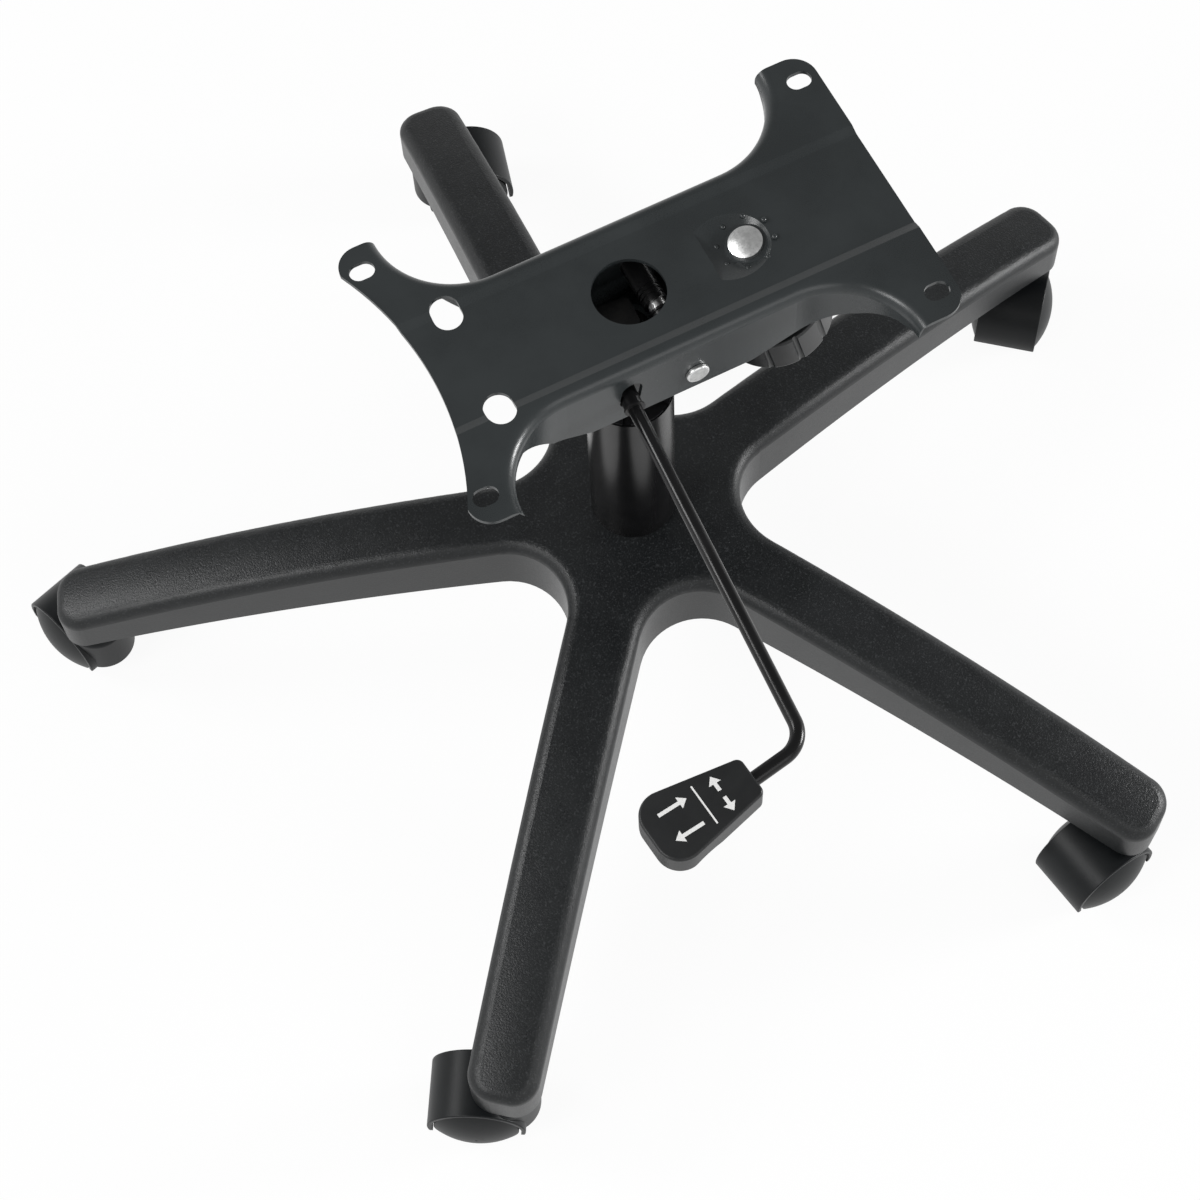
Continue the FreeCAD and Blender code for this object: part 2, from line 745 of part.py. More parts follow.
def lever_solid():
    inset = lever_bend * math.tan(math.radians(90.0 - lever_leg_turn) / 2)
    start = V(0, lever_inner, 0)
    before = lever_corner_point + V(0, inset, 0)
    after = lever_corner_point + lever_leg_way * inset
    end = lever_corner_point + lever_leg_way * lever_leg
    centre = before - V(lever_bend, 0, 0)
    middle = centre + ((before - centre) + (after - centre)).normalize() * lever_bend
    path = Part.Wire([Part.LineSegment(start, before).toShape(), Part.Arc(before, middle, after).toShape(),
                      Part.LineSegment(after, end).toShape()])
    ring = Part.Wire(Part.makeCircle(lever_radius, start, V(0, 1, 0)))
    return path.makePipeShell([ring], True, True)


def make_lever_rod():
    return on_lever(lever_solid())


def make_lever_bush():
    body = cross_cylinder(bush_radius, -bush_outer, -bush_inner, 0, 0)
    collar = cross_cylinder(bush_radius + bush_collar_wall, -bush_inner - bush_collar_length,
                            -bush_inner, 0, 0)
    bore = cross_cylinder(lever_radius + slip, -bush_outer, -bush_inner, 0, 0)
    return on_lever(body.fuse(collar).cut(bore).removeSplitter())


def make_lever_clips():
    clips = []
    for start in (-bush_outer - face_gap - clip_length, -bush_inner + face_gap):
        clip = cross_tube(lever_radius + clip_wall, lever_radius, start, start + clip_length, 0, 0)
        clips.append(on_lever(clip))
    return Part.makeCompound(clips)


def make_lever_tongue():
    strip = box((0, -tongue_right, -tongue_sheet / 2), (tongue_reach, tongue_left, tongue_sheet / 2))
    ends = [e for e in strip.Edges if e.BoundBox.ZLength > flat and e.BoundBox.XMin > lever_radius]
    strip = strip.makeFillet(tongue_sheet, ends)
    rod = cross_cylinder(lever_radius, -lever_corner, lever_inner, 0, 0)
    return on_lever(strip.cut(rod))


def make_lever_paddle():
    half = paddle_height / 2
    corners = [(V(0, -paddle_neck_half, -half), paddle_neck_corner),
               (V(paddle_length, -paddle_end_half, -half), paddle_end_corner),
               (V(paddle_length, paddle_end_half, -half), paddle_end_corner),
               (V(0, paddle_neck_half, -half), paddle_neck_corner)]
    body = Part.Face(rounded_wire(corners)).extrude(V(0, 0, paddle_height))
    body = body.makeFillet(paddle_edge, flat_edges(body))
    finger = cross_cylinder(finger_radius, -paddle_end_half, paddle_end_half,
                            paddle_length - paddle_end_half, finger_depth - half - finger_radius)
    turn = 180.0 + lever_leg_turn + paddle_turn
    spot = lever_corner_point + lever_leg_way * paddle_start
    body = placed(body.cut(finger), FreeCAD.Placement(spot, FreeCAD.Rotation(UP, turn)))
    return on_lever(body.cut(lever_solid()))


# Seat plate

def waist_wire(inset):
    radius = wing_radius + inset
    half = waist_half - inset
    diagonal = radius * math.sqrt(0.5)
    edges = []
    starts = []
    for side in (1, -1):
        front = V(waist_front, side * plate_half, 0)
        rear = V(waist_rear, side * plate_half, 0)
        front_end = front + V(radius, 0, 0)
        rear_end = rear - V(radius, 0, 0)
        edges.append(Part.Arc(front_end, front + V(diagonal, -side * diagonal, 0),
                              V(waist_front, side * half, 0)).toShape())
        side_front = V(waist_front, side * half, 0)
        side_rear = V(waist_rear, side * half, 0)
        edges.append(Part.LineSegment(side_front, side_rear).toShape())
        edges.append(Part.Arc(side_rear, rear + V(-diagonal, -side * diagonal, 0), rear_end).toShape())
        starts.append((front_end, rear_end))
    return edges, starts


def plate_outline():
    edges, ((front_left, rear_left), (front_right, rear_right)) = waist_wire(0)
    front = [V(plate_front, plate_half, 0), V(plate_front, -plate_half, 0)]
    turn = front_corner * (1 - math.sqrt(0.5))
    for corner, side, start in ((front[0], 1, front_left), (front[1], -1, front_right)):
        on_end = corner - V(front_corner, 0, 0)
        on_front = corner - V(0, side * front_corner, 0)
        edges.append(Part.LineSegment(start, on_end).toShape())
        edges.append(Part.Arc(on_end, corner - V(turn, side * turn, 0), on_front).toShape())
    across = V(0, front_corner, 0)
    edges.append(Part.LineSegment(front[0] - across, front[1] + across).toShape())
    turn = rear_corner * (1 - math.sqrt(0.5))
    for side, start in ((1, rear_left), (-1, rear_right)):
        corner = V(plate_rear, side * plate_half, 0)
        on_end = corner + V(rear_corner, 0, 0)
        on_rear = corner - V(0, side * rear_corner, 0)
        edges.append(Part.LineSegment(start, on_end).toShape())
        edges.append(Part.Arc(on_end, corner + V(turn, -side * turn, 0), on_rear).toShape())
    tip = plate_half - rear_corner
    edges.append(Part.Arc(V(plate_rear, tip, 0), V(plate_rear + rear_bow, 0, 0),
                          V(plate_rear, -tip, 0)).toShape())
    return Part.Face(Part.Wire(Part.__sortEdges__(edges)))


def inner_outline():
    edges, ends = waist_wire(sheet)
    (front_left, rear_left), (front_right, rear_right) = ends
    out = plate_half + bend_radius
    far_front = plate_front + bend_radius
    far_rear = plate_rear - bend_radius
    loops = ((front_left, V(front_left.x, out, 0), V(far_front, out, 0), V(far_front, -out, 0),
              V(front_right.x, -out, 0), front_right),
             (rear_left, V(rear_left.x, out, 0), V(far_rear, out, 0), V(far_rear, -out, 0),
              V(rear_right.x, -out, 0), rear_right))
    for points in loops:
        for a, b in zip(points, points[1:]):
            edges.append(Part.LineSegment(a, b).toShape())
    return Part.Face(Part.Wire(Part.__sortEdges__(edges)))


def bent_block(face, top, radius, bottom):
    block = face.extrude(V(0, 0, top - bottom))
    block.translate(V(0, 0, bottom))
    folds = [e for e in block.Edges if e.BoundBox.ZMin > top - flat and waist_edge(e)]
    return block.makeFillet(radius, folds)


def waist_edge(edge):
    middle = edge.valueAt((edge.FirstParameter + edge.LastParameter) / 2)
    inside = waist_rear - wing_radius < middle.x < waist_front + wing_radius
    return inside and abs(middle.y) < plate_half - overrun


def channel_prism(top_half, low_half, low, top, start, end):
    points = [V(start, -top_half, top), V(start, -low_half, low),
              V(start, low_half, low), V(start, top_half, top)]
    return polygon(points).extrude(V(end - start, 0, 0))


def slot(length, width, x, y, along_x=True):
    run = (length - width) / 2
    way = V(run, 0, 0) if along_x else V(0, run, 0)
    middle = V(x, y, 0)
    ends = [cylinder(width / 2, flange_bottom, plate_top + sheet, p.x, p.y)
            for p in (middle - way, middle + way)]
    across = V(0, width / 2, 0) if along_x else V(width / 2, 0, 0)
    low = middle - way - across
    high = middle + way + across
    body = box((low.x, low.y, flange_bottom), (high.x, high.y, plate_top + sheet))
    return ends[0].fuse([ends[1], body])


def flange_slot():
    pivot = V(pivot_x, -waist_half, pivot_z)
    spot = lever_place.multVec(V(0, -waist_half, 0))
    raised = pivot + FreeCAD.Rotation(V(0, 1, 0), seat_lean).multVec(spot - pivot)
    radius = bush_radius + flange_slot_clear
    start = -waist_half - overrun
    end = -waist_half + sheet + overrun
    ends = [cross_cylinder(radius, start, end, p.x, p.z) for p in (spot, raised)]
    way = (raised - spot).normalize()
    side = V(way.z, 0, -way.x) * radius
    corners = [spot + side, raised + side, raised - side, spot - side]
    middle = side_prism([(p.x, p.z) for p in corners], start, end)
    return ends[0].fuse([ends[1], middle])


def dimple_cone(radius, low):
    rise = dimple_height - low
    return leaning(Part.makeCone(radius, radius + dimple_flare * rise, rise, V(0, 0, low)))


def make_seat_plate():
    deep = flange_bottom - bend_radius
    start = plate_rear - bend_radius
    end = plate_front + bend_radius
    under = plate_top - sheet
    outer = bent_block(plate_outline(), plate_top, bend_radius, deep)
    inner = bent_block(inner_outline(), under, bend_radius - sheet, deep - overrun)
    groove = channel_prism(channel_half + channel_slope, channel_half, channel_top, plate_top, start, end)
    shelf_half = channel_half + sheet / 2
    shelf = channel_prism(shelf_half + channel_slope, shelf_half, channel_top - sheet, under, start, end)
    plate = outer.cut(groove).cut(inner.cut(shelf))
    arc_front = waist_front + wing_radius
    arc_rear = waist_rear - wing_radius
    lip = under - sheet
    shallow = flange_bottom + flange_rise
    low_edge = [(start, deep - overrun), (end, deep - overrun), (end, under), (arc_front + sheet, under),
                (arc_front - overrun, lip - wing_tip_rise), (arc_front - wing_arc_run, lip - wing_arc_rise),
                (waist_front, shallow), (waist_front - flange_front_run, flange_bottom),
                (waist_rear + flange_rear_run, flange_bottom), (waist_rear - flange_turn, shallow),
                (arc_rear + wing_arc_run, lip - wing_arc_rise_rear),
                (arc_rear + overrun, lip - wing_tip_rise / 2), (arc_rear - sheet, under), (start, under)]
    inward = shelf_half + channel_slope
    outward = plate_half + bend_radius
    plate = plate.cut([side_prism(low_edge, inward, outward), side_prism(low_edge, -outward, -inward)])
    below = box((start, -plate_half, deep), (end, plate_half, channel_top))
    plate = plate.fuse(dimple_cone(dimple_radius + sheet, -sheet).common(below))
    plate = plate.cut(dimple_cone(dimple_radius, 0))
    pip_ring = dimple_radius + dimple_flare * (pip_rise_t + pip_sunk)
    pips = []
    for i in range(pip_count):
        spot = polar(pip_ring, (i + 0.5) * 360.0 / pip_count, pip_rise_t)
        pips.append(leaning(Part.makeSphere(pip_radius, spot)))
    plate = plate.fuse(pips)
    holes = [leaning(cylinder(bolt_radius, -2 * sheet, sheet))]
    holes.append(cylinder(view_hole_radius, deep, plate_top, view_hole_x))
    for x in (-1, 1):
        for y in (-1, 1):
            spot_x = pattern_x + x * slot_spacing_x / 2
            holes.append(slot(slot_length, slot_width, spot_x, y * slot_spacing_y / 2))
    for y in (-1, 1):
        holes.append(slot(oval_length, oval_width, plate_rear + oval_inset, y * oval_y, False))
    holes.append(cross_cylinder(pivot_radius + slip, -plate_half, plate_half, pivot_x, pivot_z))
    holes.append(flange_slot())
    return plate.cut(holes)


# Tilt bracket under the plate

def make_tilt_bracket():
    outline = [(bracket_rear, bracket_bottom + bracket_rear_side), (bracket_rear, bracket_bottom),
               (bracket_step_x, bracket_bottom), (bracket_bend_x, bracket_front_floor),
               (bracket_front, bracket_front_low),
               (bracket_front, bracket_stop), (bracket_mid_x, bracket_bottom + bracket_mid_side)]
    past = 4 * bracket_sheet
    front_floor = bracket_front_low + past * lean_tan + bracket_sheet
    inside = [(bracket_rear - past, plate_top), (bracket_rear - past, bracket_bottom + bracket_sheet),
              (bracket_step_x, bracket_bottom + bracket_sheet),
              (bracket_bend_x, bracket_front_floor + bracket_sheet), (bracket_front + past, front_floor),
              (bracket_front + past, plate_top)]
    body = side_prism(outline, -bracket_half, bracket_half)
    body = body.cut(side_prism(inside, -bracket_inner, bracket_inner))
    travel = box((-bolt_slot_rear, -bolt_slot_rear, -spring_top_t - bracket_sheet),
                 (bolt_slot_front, bolt_slot_rear, 3 * bracket_sheet - spring_top_t))
    cuts = [leaning(travel)]
    cuts.append(cylinder(socket_radius, bracket_bottom - overrun, bracket_bottom + bracket_sheet + overrun))
    cuts.append(cross_cylinder(pivot_radius, -bracket_half, bracket_half, pivot_x, pivot_z))
    cuts.append(on_lever(cross_cylinder(bush_radius + slip, -bracket_half - bracket_sheet,
                                        bracket_sheet - bracket_inner, 0, 0)))
    return body.cut(cuts)


def make_taper_socket():
    body = cylinder(socket_radius, socket_bottom, socket_top)
    bore = Part.makeCone(cylinder_radius, cylinder_radius - cone_taper, cylinder_top - socket_bottom,
                         V(0, 0, socket_bottom))
    return body.cut(bore)


def make_pivot_pin():
    end = waist_half + face_gap
    shank = cross_cylinder(pivot_radius, -end, end + 2 * pin_head, pivot_x, pivot_z)
    head = cross_cylinder(pin_head_radius, -end - pin_head, -end, pivot_x, pivot_z)
    head = head.makeFillet(pin_head / 2, [e for e in head.Edges if e.BoundBox.YMax < -end - pin_head / 2])
    return shank.fuse(head)


def make_pivot_clip():
    start = waist_half + face_gap
    return cross_tube(pin_head_radius, pivot_radius, start, start + pin_head / 2, pivot_x, pivot_z)


def make_pivot_bushes():
    end = waist_half - sheet - face_gap
    spans = ((bracket_half, end), (-end, -bracket_half))
    return Part.makeCompound([cross_tube(pivot_tube_radius + sheet, pivot_radius, a, b, pivot_x, pivot_z)
                              for a, b in spans])


def make_pivot_tubes():
    tubes = []
    for side in (1, -1):
        ends = sorted((side * pivot_tube_inner, side * bracket_inner))
        body = cross_tube(pivot_tube_radius, pivot_radius, ends[0], ends[1], pivot_x, pivot_z)
        for i in range(tube_groove_count):
            start = side * (pivot_tube_inner + (2 * i + 2) * 2 * tube_groove)
            body = body.cut(cross_tube(pivot_tube_radius + overrun, pivot_tube_radius - tube_groove,
                                       start, start + 2 * tube_groove, pivot_x, pivot_z))
        tubes.append(body)
    return Part.makeCompound(tubes)


def main():
    os.makedirs("parts", exist_ok=True)
    nodes = {
        "star_base": make_star_base(),
        "hub_ring": make_hub_ring(),
        "column_tube": make_column(),
        "guide_sleeve": make_sleeve(),
        "bearing_lower_race": make_race(floor_top),
        "bearing_balls": make_balls(),
        "bearing_upper_race": make_race(race_high),
        "bump_stop": make_bumper(),
        "piston_rod": make_piston_rod(),
        "piston": make_piston(),
        "rod_washer": make_rod_washer(),
        "rod_clip": make_rod_clip(),
        "cylinder_gland": make_gland(),
        "gas_cylinder": make_gas_cylinder(),
        "valve_button": make_valve_button(),
        "seat_plate": make_seat_plate(),
        "tilt_bracket": make_tilt_bracket(),
        "taper_socket": make_taper_socket(),
        "pivot_pin": make_pivot_pin(),
        "pivot_clip": make_pivot_clip(),
        "pivot_bushes": make_pivot_bushes(),
        "pivot_tubes": make_pivot_tubes(),
        "tension_bolt": make_tension_bolt(),
        "tension_spring": make_tension_spring(),
        "spring_seat": make_spring_seat(),
        "tension_nut": make_tension_nut(),
        "tension_knob": make_tension_knob(),
        "lever_rod": make_lever_rod(),
        "lever_bush": make_lever_bush(),
        "lever_clips": make_lever_clips(),
        "lever_tongue": make_lever_tongue(),
        "lever_paddle": make_lever_paddle(),
    }
    caster = {"stem": make_stem(), "hood": make_hood(), "axle": make_axle(),
              "left_wheel": make_wheel(1), "right_wheel": make_wheel(-1)}
    grip_rings = []
    for i, (angle, turn) in enumerate(zip(arm_angles, caster_turns)):
        place = FreeCAD.Placement(polar(stem_ring, angle), FreeCAD.Rotation(UP, turn))
        for name, shape in caster.items():
            nodes["caster_%d_%s" % (i + 1, name)] = placed(shape, place)
        grip_rings.append(placed(make_grip_ring(), place))
    nodes["stem_grip_rings"] = Part.makeCompound(grip_rings)
    for name, shape in nodes.items():
        export(name, shape)


main()
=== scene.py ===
import json
import math
import bmesh
import bpy
from mathutils import Matrix, Vector


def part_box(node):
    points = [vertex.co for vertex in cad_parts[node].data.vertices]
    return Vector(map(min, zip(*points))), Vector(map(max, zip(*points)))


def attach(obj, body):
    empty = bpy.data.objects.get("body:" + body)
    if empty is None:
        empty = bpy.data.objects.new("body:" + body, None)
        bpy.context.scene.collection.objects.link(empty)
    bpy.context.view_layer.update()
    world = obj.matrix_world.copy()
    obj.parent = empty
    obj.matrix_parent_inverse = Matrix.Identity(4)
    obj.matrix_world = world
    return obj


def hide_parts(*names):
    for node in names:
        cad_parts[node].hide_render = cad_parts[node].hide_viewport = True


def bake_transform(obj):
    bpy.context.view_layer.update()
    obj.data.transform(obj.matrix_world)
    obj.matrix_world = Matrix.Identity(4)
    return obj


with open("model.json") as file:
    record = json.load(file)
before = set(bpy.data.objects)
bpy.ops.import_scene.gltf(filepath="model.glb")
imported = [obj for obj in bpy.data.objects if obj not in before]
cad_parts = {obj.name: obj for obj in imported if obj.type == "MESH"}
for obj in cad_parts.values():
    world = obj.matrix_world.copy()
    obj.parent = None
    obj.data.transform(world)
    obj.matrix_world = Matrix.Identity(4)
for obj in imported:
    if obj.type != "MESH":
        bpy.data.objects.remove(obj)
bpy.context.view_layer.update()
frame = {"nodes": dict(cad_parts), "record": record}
nodes = frame["nodes"]
slotOf = {row["node"]: row["material_slot"] for row in frame["record"]["subparts"]}
mm = 0.001
print("frame loaded,", len(nodes), "nodes")


# shader maths: a Wire is one socket, and arithmetic on it adds Math nodes
class Wire:
    def __init__(self, finish, socket):
        self.finish = finish
        self.socket = socket

    def calc(self, operation, a, b):
        return self.finish.node("Math", {"operation": operation}, {0: a, 1: b})

    def through(self, operation, other=0.0):
        return self.calc(operation, self, other)

    def __add__(self, other):
        return self.calc("ADD", self, other)

    def __radd__(self, other):
        return self.calc("ADD", other, self)

    def __sub__(self, other):
        return self.calc("SUBTRACT", self, other)

    def __rsub__(self, other):
        return self.calc("SUBTRACT", other, self)

    def __mul__(self, other):
        return self.calc("MULTIPLY", self, other)

    def __rmul__(self, other):
        return self.calc("MULTIPLY", other, self)

    def __truediv__(self, other):
        return self.calc("DIVIDE", self, other)

    def __rtruediv__(self, other):
        return self.calc("DIVIDE", other, self)


class Finish:
    def __init__(self, name, owner=None):
        self.material = owner or bpy.data.materials.new(name)
        self.material.use_nodes = True
        self.tree = self.material.node_tree
        self.tree.nodes.clear()
        self.spot = self.node("TexCoord", out="Object")

    def node(self, kind, settings=None, inputs=None, out=0):
        made = self.tree.nodes.new("ShaderNode" + kind)
        for key, value in (settings or {}).items():
            setattr(made, key, value)
        for key, value in (inputs or {}).items():
            if isinstance(value, Wire):
                self.tree.links.new(value.socket, made.inputs[key])
            else:
                made.inputs[key].default_value = value
        return Wire(self, made.outputs[out])

    def noise(self, scale, detail=2.0, harsh=0.5, spot=None):
        sockets = {"Vector": spot or self.spot, "Scale": scale, "Detail": detail, "Roughness": harsh}
        return self.node("TexNoise", None, sockets)

    def cells(self, scale):
        return self.node("TexVoronoi", None, {"Vector": self.spot, "Scale": scale})

    def stretched(self, x, y, z):
        return self.node("Mapping", None, {"Vector": self.spot, "Scale": (x, y, z)})

    def part(self, axis, vector=None):
        return self.node("SeparateXYZ", None, {0: vector or self.spot}, out=axis)

    def band(self, value, low, high):
        sockets = {"Value": value, "From Min": low, "From Max": high}
        return self.node("MapRange", {"interpolation_type": "SMOOTHSTEP"}, sockets)

    def blend(self, share, first, second):
        return self.node("Mix", {"data_type": "RGBA"}, {0: share, 6: first, 7: second}, out=2)

    def bump(self, height, distance, strength):
        return self.node("Bump", None, {"Height": height, "Distance": distance, "Strength": strength})

    def rays(self):
        kinds = ("Camera", "Glossy", "Transmission")
        return [self.node("LightPath", out="Is %s Ray" % kind) for kind in kinds]

    def done(self, **sockets):
        inputs = {key.replace("_", " "): value for key, value in sockets.items()}
        self.close(self.node("BsdfPrincipled", None, inputs))
        return self.material

    def close(self, shader, kind="Material"):
        out = self.tree.nodes.new("ShaderNodeOutput" + kind)
        self.tree.links.new(shader.socket, out.inputs["Surface"])


def grey(value):
    return (value, value, value, 1.0)


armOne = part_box("caster_1_stem")
starNylon = {
    "dark": (0.0066, 0.0075, 0.0081, 1), "light": (0.0124, 0.0137, 0.0145, 1),
    "flow": 9.0, "cloud": 55.0, "tone": (0.3, 0.7),
    # painted glints: light flecks of the grain, stronger on up-facing tops
    "paintedGlint": (0.036, 0.0385, 0.0405, 1), "paintedGlintBand": (0.52, 0.72),
    "grain": 1050.0, "grainHeight": 0.24 * mm, "grainStrength": 0.9,
    "rough": 0.31, "grainRough": 0.22, "cloudRough": 0.1, "sideRough": 0.05, "shoulderRough": 0.16,
    "gloss": 0.36,
    "top": (0.15, 0.75), "shoulderIn": (0.1, 0.5), "shoulderOut": (0.82, 0.99),      # by how far it faces up
    "arms": 5, "firstArm": math.atan2(armOne[0][1] + armOne[1][1], armOne[0][0] + armOne[1][0]),
    "crown": 4.2 * mm, "crownHalf": 30 * mm, "hubFade": (70 * mm, 130 * mm),
}


def armCrown(f, p):                                     # the arms' tops swell a little along their middles
    x, y = f.part("X"), f.part("Y")
    reach = (x * x + y * y).through("SQRT")
    half = math.pi / p["arms"]
    bearing = y.through("ARCTAN2", x) - p["firstArm"]
    turn = f.node("Math", {"operation": "WRAP"}, {0: bearing, 1: half, 2: -half})
    side = reach * turn.through("SINE") / p["crownHalf"]
    hill = (side * side * -1.0).through("EXPONENT")
    return hill * f.band(reach, *p["hubFade"])


def makeStarNylon(p=starNylon):
    f = Finish("star_nylon")
    up = f.part("Z", f.node("TexCoord", out="Normal"))
    top = f.band(up, *p["top"])                         # grain fades down the sides
    shoulder = f.band(up, *p["shoulderIn"]) * (1 - f.band(up, *p["shoulderOut"]))
    grain = f.noise(p["grain"], 3.0, 0.6) * 0.7 + f.cells(p["grain"] * 0.8) * 0.3
    flow = f.noise(p["flow"], 3.0)
    cloud = f.noise(p["cloud"], 4.0, 0.65)
    colour = f.blend(f.band(flow * 0.55 + cloud * 0.45, *p["tone"]), p["dark"], p["light"])
    # painted glints: lighter grain flecks painted in as the grain's sparkle of light, stronger on up-facing
    # tops
    colour = f.blend(f.band(grain, *p["paintedGlintBand"]) * (0.25 + 0.5 * top), colour, p["paintedGlint"])
    rough = p["rough"] + (grain - 0.5) * p["grainRough"] + (cloud - 0.5) * p["cloudRough"]
    rough = rough + (1 - top) * p["sideRough"] + shoulder * p["shoulderRough"]
    swell = armCrown(f, p) * (p["crown"] / p["grainHeight"])
    height = grain * (0.35 + 0.65 * top) + cloud * 0.15 + swell
    bump = f.bump(height, p["grainHeight"], p["grainStrength"])
    return f.done(Base_Color=colour, Roughness=rough, Normal=bump, Specular_IOR_Level=p["gloss"])


plateCoat = {
    "dark": (0.0195, 0.0229, 0.024, 1), "light": (0.0268, 0.0311, 0.0325, 1),
    "cloud": 16.0, "tone": (0.3, 0.7),
    "peel": 420.0, "peelHeight": 0.06 * mm, "peelStrength": 0.6, "grain": 2600.0,
    "rough": 0.29, "cloudRough": 0.1, "grainRough": 0.12, "gloss": 0.44,
    "crease": (30.0 * mm, 38.5 * mm), "creaseRise": 1.2 * mm,
}


def makePlateCoat(p=plateCoat):
    f = Finish("plate_powder_coat")
    peel = f.noise(p["peel"])
    grain = f.noise(p["grain"], 2.0, 0.6)
    cloud = f.noise(p["cloud"], 4.0, 0.6)
    colour = f.blend(f.band(cloud, *p["tone"]), p["dark"], p["light"])
    rough = p["rough"] + (cloud - 0.5) * p["cloudRough"] + (grain - 0.5) * p["grainRough"]
    crease = f.band(f.part("Y").through("ABSOLUTE"), *p["crease"])      # softens the pressed channel's edges
    height = peel * 0.6 + grain * 0.4 + crease * (p["creaseRise"] / p["peelHeight"])
    bump = f.bump(height, p["peelHeight"], p["peelStrength"])
    return f.done(Base_Color=colour, Roughness=rough, Normal=bump, Specular_IOR_Level=p["gloss"])


enamel = {
    "colour": (0.0035, 0.0035, 0.0038, 1), "worn": (0.0065, 0.0065, 0.007, 1),
    "haze": 42.0, "hazeBand": (0.35, 0.75),
    "peel": 260.0, "peelHeight": 0.04 * mm, "peelStrength": 0.5,
    "rub": 30.0, "rubBand": (0.45, 0.75), "rubRough": 0.12, "rough": 0.24, "gloss": 0.3,
}


def makeEnamel(p=enamel):
    f = Finish("gloss_enamel")
    peel = f.noise(p["peel"])
    haze = f.noise(p["haze"], 4.0, 0.7)
    rub = f.noise(p["rub"], 3.0, 0.6, f.stretched(1.0, 1.0, 0.08))      # long streaks up the column
    colour = f.blend(f.band(haze, *p["hazeBand"]), p["colour"], p["worn"])
    rough = p["rough"] + f.band(rub, *p["rubBand"]) * p["rubRough"]
    bump = f.bump(peel, p["peelHeight"], p["peelStrength"])
    return f.done(Base_Color=colour, Roughness=rough, Normal=bump, Specular_IOR_Level=p["gloss"])


zinc = {
    "bright": (0.83, 0.835, 0.83, 1), "dull": (0.60, 0.605, 0.60, 1), "rough": 0.27,
    "haze": 300.0, "hazeBand": (0.3, 0.75), "hazeRough": 0.12, "hazeHeight": 0.05 * mm, "hazeStrength": 0.5,
    "spangle": 900.0, "spangleRough": 0.18,
}


def makeZinc(p=zinc):
    f = Finish("bright_zinc")
    spangle = f.cells(p["spangle"])
    haze = f.noise(p["haze"], 4.0, 0.65)
    colour = f.blend(f.band(haze, *p["hazeBand"]), p["bright"], p["dull"])
    rough = p["rough"] + spangle * p["spangleRough"] + (haze - 0.5) * p["hazeRough"]
    bump = f.bump(haze, p["hazeHeight"], p["hazeStrength"])
    return f.done(Base_Color=colour, Roughness=rough, Metallic=1.0, Normal=bump)


groundSteel = {
    "bright": (0.56, 0.565, 0.57, 1), "dull": (0.36, 0.365, 0.37, 1), "rough": 0.24,
    "oil": 60.0, "oilBand": (0.35, 0.75), "wetBand": (0.5, 0.8), "wetRough": 0.1,
    "lines": 180.0, "lineHeight": 0.03 * mm, "lineStrength": 0.5, "lineRough": 0.16,
}


def makeGroundSteel(p=groundSteel):
    f = Finish("ground_steel")
    lines = f.noise(p["lines"], 3.0, 0.7, f.stretched(1.0, 1.0, 14.0))      # grinding marks round the axis
    oil = f.noise(p["oil"], 4.0, 0.6)
    colour = f.blend(f.band(oil, *p["oilBand"]), p["bright"], p["dull"])
    rough = p["rough"] + (lines - 0.5) * p["lineRough"] + f.band(oil, *p["wetBand"]) * p["wetRough"]
    bump = f.bump(lines, p["lineHeight"], p["lineStrength"])
    return f.done(Base_Color=colour, Roughness=rough, Metallic=1.0, Normal=bump)


oxide = {
    "dark": (0.012, 0.012, 0.013, 1), "light": (0.03, 0.029, 0.028, 1), "rough": 0.42, "metal": 0.55,
    "patch": 120.0, "patchBand": (0.35, 0.7), "patchRough": 0.2,
    "grain": 1800.0, "grainHeight": 0.05 * mm, "grainStrength": 0.5,
}


def makeOxide(p=oxide):
    f = Finish("black_oxide")
    patch = f.noise(p["patch"], 5.0, 0.65)
    grain = f.noise(p["grain"])
    colour = f.blend(f.band(patch, *p["patchBand"]), p["dark"], p["light"])
    rough = p["rough"] + (patch - 0.5) * p["patchRough"]
    bump = f.bump(grain, p["grainHeight"], p["grainStrength"])
    return f.done(Base_Color=colour, Roughness=rough, Metallic=p["metal"], Normal=bump)


casterNylon = {
    "dark": (0.0034, 0.0043, 0.0049, 1), "light": (0.0066, 0.0078, 0.0086, 1),
    "rough": 0.42, "grain": 1300.0, "gloss": 0.24,
}
wheelNylon = {
    "dark": (0.0047, 0.0058, 0.0063, 1), "light": (0.009, 0.0101, 0.0107, 1),
    "rough": 0.44, "grain": 1100.0, "gloss": 0.24,
}
acetal = {
    "dark": (0.0045, 0.0045, 0.0048, 1), "light": (0.0075, 0.0075, 0.008, 1),
    "rough": 0.3, "grain": 900.0, "gloss": 0.34,
}
knobPlastic = {
    "dark": (0.010, 0.0108, 0.0114, 1), "light": (0.0165, 0.0175, 0.018, 1),
    "rough": 0.34, "grain": 1300.0, "gloss": 0.34,
}
paddlePlastic = {
    "dark": (0.0105, 0.0112, 0.0116, 1), "light": (0.0165, 0.0174, 0.018, 1),
    "rough": 0.4, "grain": 2100.0, "gloss": 0.32,
}
moulding = {
    "flow": 26.0, "flowBand": (0.3, 0.7), "flowRough": 0.14,
    "rub": 75.0, "rubBand": (0.55, 0.8), "rubRough": 0.08,
    "grainHeight": 0.08 * mm, "grainStrength": 0.55,
}


